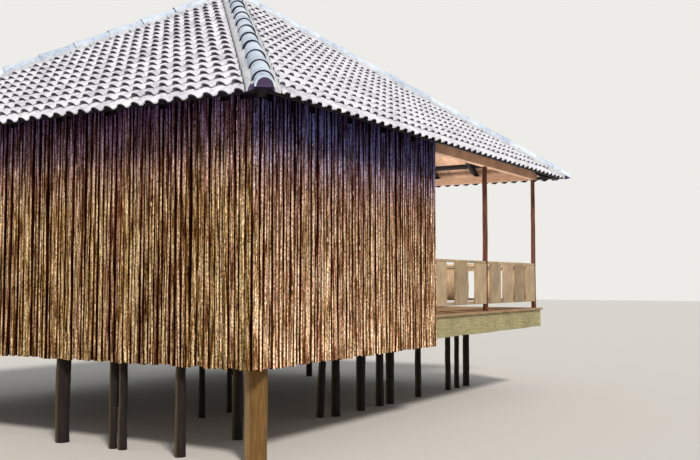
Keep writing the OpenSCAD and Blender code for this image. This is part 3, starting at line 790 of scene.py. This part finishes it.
def makeHipTileMaster(number):
    # X runs up the hip
    rng = random.Random(330 + number)
    tile = start(f"hipTileMaster{number}", bpy.ops.mesh.primitive_grid_add,
                 x_subdivisions=hips["rows"], y_subdivisions=hips["arcSteps"], size=1.0)
    rows, columns = (sorted({round(v.co[i], 4) for v in tile.data.vertices}) for i in (0, 1))
    for j, x in enumerate(rows):
        t = j / (len(rows) - 1)
        radius = hips["lowRadius"] + (hips["topRadius"] - hips["lowRadius"]) * t
        squash = 1 + rng.uniform(-1, 1) * hips["squash"]
        for k, y in enumerate(columns):
            angle = math.pi * (1 - k / (len(columns) - 1))
            moveVerts(tile, nearTo(Vector((x, y, 0))), (
                t * hips["length"] - x, radius * math.cos(angle) - y, radius * math.sin(angle) * squash))
    applyModifier(tile, "clay", "SOLIDIFY", {"thickness": hips["thick"], "offset": -1})
    faceOut(tile)
    smooth(tile, hips["smoothDeg"])
    # painted shadow on the lower rim of each hip tile
    markPaintedShade(tile, lambda poly: poly.normal.x < hips["rimFacing"])
    return tile


def hipPlace(way):
    # way -1 is the near hip, from the left front corner, and 1 the one at the right end
    heading = hipHeading if way < 0 else math.pi - hipHeading
    return (Matrix.Translation((way * roof["halfLong"], -roof["halfWide"], roof["eaveZ"] + hips["axisHigh"]))
            @ Matrix.Rotation(heading, 4, "Z"))


def layHipTiles(name, way, seed):
    rng = random.Random(seed)
    tilt = Matrix.Rotation(-math.atan(hipRise), 4, "Y")
    parts = []
    for i in range(hips["count"] + 1):
        loose = 0 if i == 0 else 1  # the lowest one is bedded true to the corner
        turn = Matrix.Rotation(math.radians(rng.uniform(-1, 1) * hips["turnDeg"] * loose), 4, "Z")
        along = hips["first"] + (i - 1) * hips["gauge"]
        matrix = Matrix.Translation((along, rng.uniform(-1, 1) * hips["slack"] * loose, 0)) @ turn
        part = placedCopy(rng.choice(hipMasters), matrix, rng.random())
        if i == 0:  # the lowest tile is cut off plumb at the roof corner
            cutPiece(part, (0, 0, 0), (-1, 0, hipRise))
        if i == hips["count"]:  # and the highest one under the peak's cap
            cutPiece(part, (hips["end"], 0, 0), (1, 0, 0))
        smooth(part, hips["smoothDeg"])
        parts.append(part)
    row = joinAll(parts, name)
    row.data.transform(hipPlace(way) @ tilt)
    return row


def layMortar(name, way):
    # the bed's outline across the hip, pulled up the hip ring by ring and roughened
    slopes = {1: (math.sin(hipHeading) * math.tan(pitchLeft), math.cos(pitchLeft)),
              -1: (math.cos(hipHeading) * math.tan(pitchRight), math.cos(pitchRight))}
    deck = -hips["axisHigh"]

    def halfOutline(side):
        fall, cosine = slopes[-side * way]
        return ([(side * y, deck + w / cosine - fall * y) for y, w in mortar["over"]]
                + [(side * y, z) for y, z in mortar["under"]])

    outline = [*halfOutline(-1), (0.0, mortar["middle"]), *reversed(halfOutline(1)),
               (0.0, deck + mortar["sole"])]
    first, step = mortar["first"], mortar["step"]
    bed = startDisc(name, len(outline))
    for i, (y, z) in enumerate(outline):
        at = bed.data.vertices[i].co.copy()
        moveVerts(bed, nearTo(at), Vector((first, y, z + first * hipRise)) - at)
    selectAll()
    for _ in range(int((hipRun - mortar["end"] - first) / step)):
        extrudeBy(step, 0, step * hipRise)
    faceOut(bed)
    bed.data.transform(hipPlace(way))
    makeLumpy(bed, *mortar["lumps"])
    cutPiece(bed, (way * roof["halfLong"], 0, 0), (way, 0, 0))
    cutPiece(bed, (0, -roof["halfWide"], 0), (0, -1, 0))
    # the bed's lower end is cut leaning, so that its face looks a little down and takes the painted shade of
    # faces that look down
    behind = hipPlace(way) @ Matrix.Translation((mortar["back"], 0, 0))
    cutPiece(bed, behind.translation, behind.to_3x3() @ Vector((-1, 0, -mortar["slant"])).normalized())
    # the plug in the mouth of the lowest tile, all of it in painted shade
    plug = startDisc("plug", mortar["plugSides"], mortar["plugRadius"])
    bpy.ops.object.mode_set(mode="OBJECT")
    plug.data.transform(Matrix.Rotation(math.pi / 2, 4, "Y"))
    selectVerts(plug, lambda co: co.z < -pointReach)
    bpy.ops.transform.resize(value=(1, 1, mortar["plugLow"]), center_override=(0, 0, 0))
    selectAll()
    extrudeBy(mortar["plugLong"], 0, 0)
    faceOut(plug)
    plug.data.transform(hipPlace(way) @ Matrix.Translation((mortar["plugBack"], 0, 0))
                        @ Matrix.Diagonal((1, 1, math.hypot(1, hipRise), 1)))
    markPaintedShade(plug, lambda poly: True)
    piece = joinAll([bed, plug], name)
    smooth(piece, mortar["smoothDeg"])
    return piece


hipMasters = [makeHipTileMaster(i) for i in range(hips["shapes"])]
nearHip = layHipTiles("nearHipTiles", -1, 31)
endHip = layHipTiles("rightEndHipTiles", 1, 32)
for piece, node in ((nearHip, "hip_tiles_near"), (endHip, "hip_tiles_right_end"),
                    (turnedCopy(nearHip, "backEndHipTiles"), "hip_tiles_back_end"),
                    (turnedCopy(endHip, "leftBackHipTiles"), "hip_tiles_left_back")):
    finishPiece(piece, hipTileMat, [node])
removeAll(hipMasters)
nearBed = layMortar("nearMortarBed", -1)
endBed = layMortar("rightEndMortarBed", 1)
for piece in (nearBed, endBed, turnedCopy(nearBed, "backEndMortarBed"),
              turnedCopy(endBed, "leftBackMortarBed")):
    finishPiece(piece, mortarMat)

# mortar cap over the peak: each ring is a share of the first and a height over the peak
peak = {
    "radius": 0.21867, "sides": 32, "low": -0.13, "lumps": (0.09, 0.016, 0.6), "smoothDeg": 50,
    "rings": ((1.0, -0.02), (0.97, 0.018), (0.86, 0.042), (0.66, 0.068), (0.42, 0.088), (0.18, 0.098)),
}
cap = startDisc("peakMortarCap", peak["sides"], peak["radius"])
bpy.ops.transform.translate(value=(0, 0, roof["eaveZ"] + roof["rise"] + peak["low"]))
lastShare, lastHeight = 1.0, peak["low"]
for share, height in peak["rings"]:
    extrudeBy(0, 0, height - lastHeight)
    bpy.ops.transform.resize(value=(share / lastShare, share / lastShare, 1), center_override=(0, 0, 0))
    lastShare, lastHeight = share, height
faceOut(cap)
applyModifier(cap, "finer", "SUBSURF", {"levels": 1, "render_levels": 1})
makeLumpy(cap, *peak["lumps"])
smooth(cap, peak["smoothDeg"])
finishPiece(cap, mortarMat, ["peak_cap"])
print("hips and peak")

# boards, their widths a share of the usual one
boards = {"first": (0.7, 1.0), "others": (0.85, 1.15), "narrowest": 0.04}


def boardSheet(name, lowX, highX, lowY, highY, wide, gap, thick, seed, planes=()):
    # one flat sheet in XY, cut into boards that run along Y, each marked with its own shade
    rng = random.Random(seed)
    sheet = start(name, bpy.ops.mesh.primitive_plane_add, size=1.0)
    bpy.ops.transform.resize(value=(highX - lowX, highY - lowY, 1))
    bpy.ops.transform.translate(value=((lowX + highX) / 2, (lowY + highY) / 2, 0))
    for point, normal in planes:
        selectAll()
        bpy.ops.mesh.bisect(plane_co=point, plane_no=normal, clear_outer=True)
    x = lowX + wide * rng.uniform(*boards["first"])
    while x < highX - boards["narrowest"]:
        selectAll()
        bpy.ops.mesh.bisect(plane_co=(x, 0, 0), plane_no=(1, 0, 0))
        x += wide * rng.uniform(*boards["others"])
    bpy.ops.mesh.select_mode(type="FACE")
    selectAll()
    bpy.ops.mesh.inset(thickness=gap / 2, depth=0, use_individual=True)
    bpy.ops.mesh.select_all(action="INVERT")
    bpy.ops.mesh.delete(type="FACE")
    bpy.ops.object.mode_set(mode="OBJECT")
    mark = sheet.data.attributes.new("tone", "FLOAT", "POINT")
    for poly in sheet.data.polygons:
        shade = rng.random()
        for i in poly.vertices:
            mark.data[i].value = shade
    applyModifier(sheet, "board", "SOLIDIFY", {"thickness": thick, "offset": -1})
    return sheet


# the roof's boards, laid up the slopes over the purlins
for name, side, seed, node, copyName, copyNode, material in (
        ("rightRoofBoards", "right", 15, "roof_boards_right", "backRoofBoards", "roof_boards_back",
         roofBoardMatY),
        ("leftRoofBoards", "left", 14, "roof_boards_left", "endRoofBoards", "roof_boards_end",
         roofBoardMatX)):
    half, run, slopeLength, pitch, place = slopeFrame(side)
    sheet = boardSheet(name, -half, half, roof["boardEdge"] / math.cos(pitch),
                       slopeLength - roof["boardBelowPeak"], roof["boardWide"], roof["boardGap"],
                       roof["boardThick"], seed,
                       hipPlanes(half, run, slopeLength, pitch, roof["boardHipGap"]))
    sheet.data.transform(place)
    finishPiece(turnedCopy(sheet, copyName), material, [copyNode])
    finishPiece(sheet, material, [node])

# rafters, hip rafters and purlins, cut level just above the eaves' edge
tails = {"above": 0.026, "start": 0.105, "rise": 0.30}  # the rafters' tails taper out to the eaves
eaveLevel = roof["eaveZ"] + tails["above"]
for name, node in (("trimmedRafters", "rafters"), ("trimmedHipRafters", "hip_rafters"),
                   ("trimmedPurlins", "purlins")):
    timber = bpy.data.objects.new(name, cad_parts[node].data.copy())
    scene.collection.objects.link(timber)
    timber.data.name = name
    editAll(timber)
    bpy.ops.mesh.remove_doubles(threshold=cornerReach)
    cutPiece(timber, (0, 0, eaveLevel), (0, 0, -1))
    if node == "rafters":
        for outX, outY in ((1, 0), (-1, 0), (0, 1), (0, -1)):
            # only the rafters of this slope: they lie on its side of the hips
            selectVerts(timber, lambda co: (abs(co.x) / roof["halfLong"] > abs(co.y) / roof["halfWide"])
                        == (outX != 0) and co.x * outX + co.y * outY > 0)
            run = (roof["halfLong"] if outX else roof["halfWide"]) - tails["start"]
            down = Vector((-outX * tails["rise"], -outY * tails["rise"], -1)).normalized()
            bpy.ops.mesh.bisect(plane_co=(outX * run, outY * run, eaveLevel), plane_no=down,
                                use_fill=True, clear_outer=True)
        bpy.ops.object.mode_set(mode="OBJECT")
    print(name, len(timber.data.polygons), "faces")
    finishPiece(timber, roofTimberMat, [node])

# floors, their boards laid along the house over the joists
floors = {"boardWide": 0.16, "gap": 0.004}
for name, node, seed in (("roomFloorBoards", "room_floor", 15), ("verandaFloorBoards", "veranda_floor", 18)):
    low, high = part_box(node)
    sheet = boardSheet(name, -high.y, -low.y, low.x, high.x, floors["boardWide"], floors["gap"],
                       high.z - low.z, seed)
    sheet.data.transform(Matrix.Translation((0, 0, high.z)) @ Matrix.Rotation(-math.pi / 2, 4, "Z"))
    finishPiece(sheet, floorBoardMat, [node])
print("roof boards and floors")

# round poles: stilts and posts
poles = {
    "stilt": {"sides": 16, "rings": 14, "wander": 0.05, "swell": 0.03, "taper": 0.92},
    "trunk": {"sides": 28, "rings": 24, "wander": 0.02, "swell": 0.012, "taper": 0.95},
    "stiltNumbers": (0, 1, 2, 3, 4, 5), "trunkNumbers": (10, 11),
    "outOfRound": (-0.05, 0.02), "return": 0.3, "smoothDeg": 50,
}


def makePoleMaster(number, sides, rings, wander, swell, taper):
    # one trunk of unit radius and unit length, pulled up ring by ring
    rng = random.Random(200 + number)
    pole = startDisc(f"poleMaster{number}", sides)
    for i in range(sides):  # not quite round
        at = pole.data.vertices[i].co.copy()
        moveVerts(pole, nearTo(at), at * rng.uniform(*poles["outOfRound"]))
    selectAll()
    offset = [0.0, 0.0]
    for _ in range(rings):
        step = [rng.uniform(-wander, wander) - at * poles["return"] for at in offset]
        offset = [at + move for at, move in zip(offset, step)]
        extrudeBy(*step, 1 / rings)
        size = taper ** (1 / rings) * (1 + rng.uniform(-swell, swell))
        bpy.ops.transform.resize(value=(size, size, 1))
    faceOut(pole)
    smooth(pole, poles["smoothDeg"])
    return pole


def polesFor(name, node, masters, material, seed):
    # one pole in the place of each round solid of a CAD node
    rng = random.Random(seed)
    parts = []
    for low, high, group in islandBoxes(node):
        foot = [p for p in group if p.z < low.z + pointReach]
        head = [p for p in group if p.z > high.z - pointReach]
        footAt, headAt = (sum(ring, Vector()) / len(ring) for ring in (foot, head))
        radius = max((p - footAt).length for p in foot)
        lean = Matrix.Identity(4)
        lean[0][2] = (headAt.x - footAt.x) / (headAt.z - footAt.z)
        lean[1][2] = (headAt.y - footAt.y) / (headAt.z - footAt.z)
        matrix = (Matrix.Translation(footAt) @ lean @ Matrix.Rotation(rng.uniform(0, 2 * math.pi), 4, "Z")
                  @ Matrix.Diagonal((radius, radius, high.z - low.z, 1.0)))
        parts.append(placedCopy(rng.choice(masters), matrix, rng.random()))
    finishPiece(joinAll(parts, name), material, [node])
    print(name, len(parts), "poles")


stiltMasters = [makePoleMaster(i, **poles["stilt"]) for i in poles["stiltNumbers"]]
trunkMasters = [makePoleMaster(i, **poles["trunk"]) for i in poles["trunkNumbers"]]
polesFor("leftStiltRow", "left_stilts", stiltMasters, darkPoleMat, 41)
polesFor("innerStiltRows", "inner_stilts", stiltMasters, darkPoleMat, 42)
polesFor("leaningStilt", "leaning_stilt", stiltMasters, darkPoleMat, 43)
polesFor("cornerPost", "corner_post", trunkMasters, palePoleMat, 44)
polesFor("backCornerPost", "back_corner_post", trunkMasters, palePoleMat, 45)
polesFor("verandaPosts", "veranda_posts", stiltMasters, verandaPoleMat, 46)
removeAll(stiltMasters + trunkMasters)

# veranda railing: bars with wide upright boards on their outer side
railing = {
    "high": 0.770, "clear": 0.114, "boardWide": 0.440, "boardThick": 0.024,
    "barHigh": 0.045, "barThick": 0.060, "barGap": 0.040, "end": 0.035, "pitch": 0.760,
    "nearSide": -2.5,  # nearer than this stand the posts of the right railing
    "barShape": {"cuts": 6, "rough": 0.004, "bevel": 0.005},
    "boardShape": {"cuts": 5, "rough": 0.012, "bevel": 0.004},
}


def makeTimber(length, wide, thick, seed, cuts, rough, bevel):
    # a sawn piece along X from the origin, wide in Y and thick in Z, its edges a little uneven
    rng = random.Random(seed)
    timber = start("timber", bpy.ops.mesh.primitive_cube_add, size=1.0)
    bpy.ops.transform.resize(value=(length, wide, thick))
    bpy.ops.transform.translate(value=(length / 2, wide / 2, thick / 2))
    for i in range(1, cuts):
        selectAll()
        bpy.ops.mesh.bisect(plane_co=(length * i / cuts, 0, 0), plane_no=(1, 0, 0))
    for i in range(cuts + 1):
        x = length * i / cuts
        for upper in (False, True):
            moveVerts(timber, lambda co: abs(co.x - x) < pointReach and (co.y > wide / 2) == upper,
                      (0, rng.uniform(0, rough) * (-1 if upper else 1), 0))
    applyModifier(timber, "worn", "BEVEL", {"width": bevel, "segments": 2, "limit_method": "ANGLE"})
    return timber


def joinTimbers(parts, name, rng):
    for part in parts:
        markTone(part, rng.random())
    piece = joinAll(parts, name)
    faceOut(piece)
    return piece


def buildRailing(name, node, bays, seed):
    # each bay: its corner on the outer side, direction along, direction inwards, length
    rng = random.Random(seed)
    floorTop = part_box("veranda_floor")[1].z
    top, low = floorTop + railing["high"], floorTop + railing["clear"]
    barLevels = (top - railing["barHigh"], top - 2 * railing["barHigh"] - railing["barGap"], low)
    parts = []
    for corner, along, inward, length in bays:
        bayFrame = Matrix(((along[0], inward[0], 0, corner[0]), (along[1], inward[1], 0, corner[1]),
                           (0, 0, 1, 0), (0, 0, 0, 1)))
        for z in barLevels:
            bar = makeTimber(length, railing["barHigh"], railing["barThick"], rng.randrange(9999),
                             **railing["barShape"])
            # the bar's uneven width stands upright, its back faces the veranda
            bar.data.transform(bayFrame @ Matrix(((1, 0, 0, 0), (0, 0, 1, railing["boardThick"]),
                                                  (0, 1, 0, z), (0, 0, 0, 1))))
            parts.append(bar)
        span = length - 2 * railing["end"] - railing["boardWide"]
        gaps = max(1, math.ceil(span / railing["pitch"] - 1e-6))
        for i in range(gaps + 1):
            board = makeTimber(top - railing["barHigh"] - low, railing["boardWide"],
                               railing["boardThick"], rng.randrange(9999), **railing["boardShape"])
            board.data.transform(bayFrame @ Matrix((
                (0, 1, 0, railing["end"] + i * span / gaps), (0, 0, 1, 0), (1, 0, 0, low), (0, 0, 0, 1))))
            parts.append(board)
    finishPiece(joinTimbers(parts, name, rng), railBoardMat, [node])
    print(name, len(parts), "pieces")


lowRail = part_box("right_railing")[0]
spans, x = [], lowRail.x
# the posts of the near side, from the room outwards
for low, high, _ in sorted(islandBoxes("veranda_posts"), key=lambda box: box[0].x):
    if low.y < railing["nearSide"]:
        spans.append((x, low.x))
        x = high.x
for sign, name, node, seed in ((-1, "rightRailing", "right_railing", 51),
                               (1, "backRailing", "back_railing", 52)):
    buildRailing(name, node, [((a, sign * -lowRail.y), (1, 0), (0, -sign), b - a) for a, b in spans], seed)
low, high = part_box("end_railing_near")
for sign, name, node, seed in ((-1, "endRailingNear", "end_railing_near", 53),
                               (1, "endRailingFar", "end_railing_far", 54)):
    buildRailing(name, node, [((high.x, sign * -low.y), (0, -sign), (-1, 0), high.y - low.y)], seed)

# rim boards under the veranda floor, two to a long side and two across the end
rim = {"thick": 0.030, "joint": 0.004, "shape": {"cuts": 8, "rough": 0.008, "bevel": 0.004}}
low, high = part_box("rim_boards")
sideLong, endLong = (high.x - low.x) / 2, (high.y - low.y - 2 * rim["thick"]) / 2
parts = []
for length, seed, place in (
        *((sideLong, 61 + i + sign, ((1, 0, 0, low.x + i * sideLong), (0, 0, -sign, sign * high.y)))
          for sign in (-1, 1) for i in (0, 1)),
        *((endLong, 71 + i, ((0, 0, -1, high.x), (1, 0, 0, low.y + rim["thick"] + i * endLong)))
          for i in (0, 1))):
    board = makeTimber(length - rim["joint"], high.z - low.z, rim["thick"], seed, **rim["shape"])
    board.data.transform(Matrix((*place, (0, 1, 0, low.z), (0, 0, 0, 1))))
    parts.append(board)
finishPiece(joinTimbers(parts, "verandaRimBoards", random.Random(75)), rimMat, ["rim_boards"])
print("railings and rim")

low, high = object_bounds()
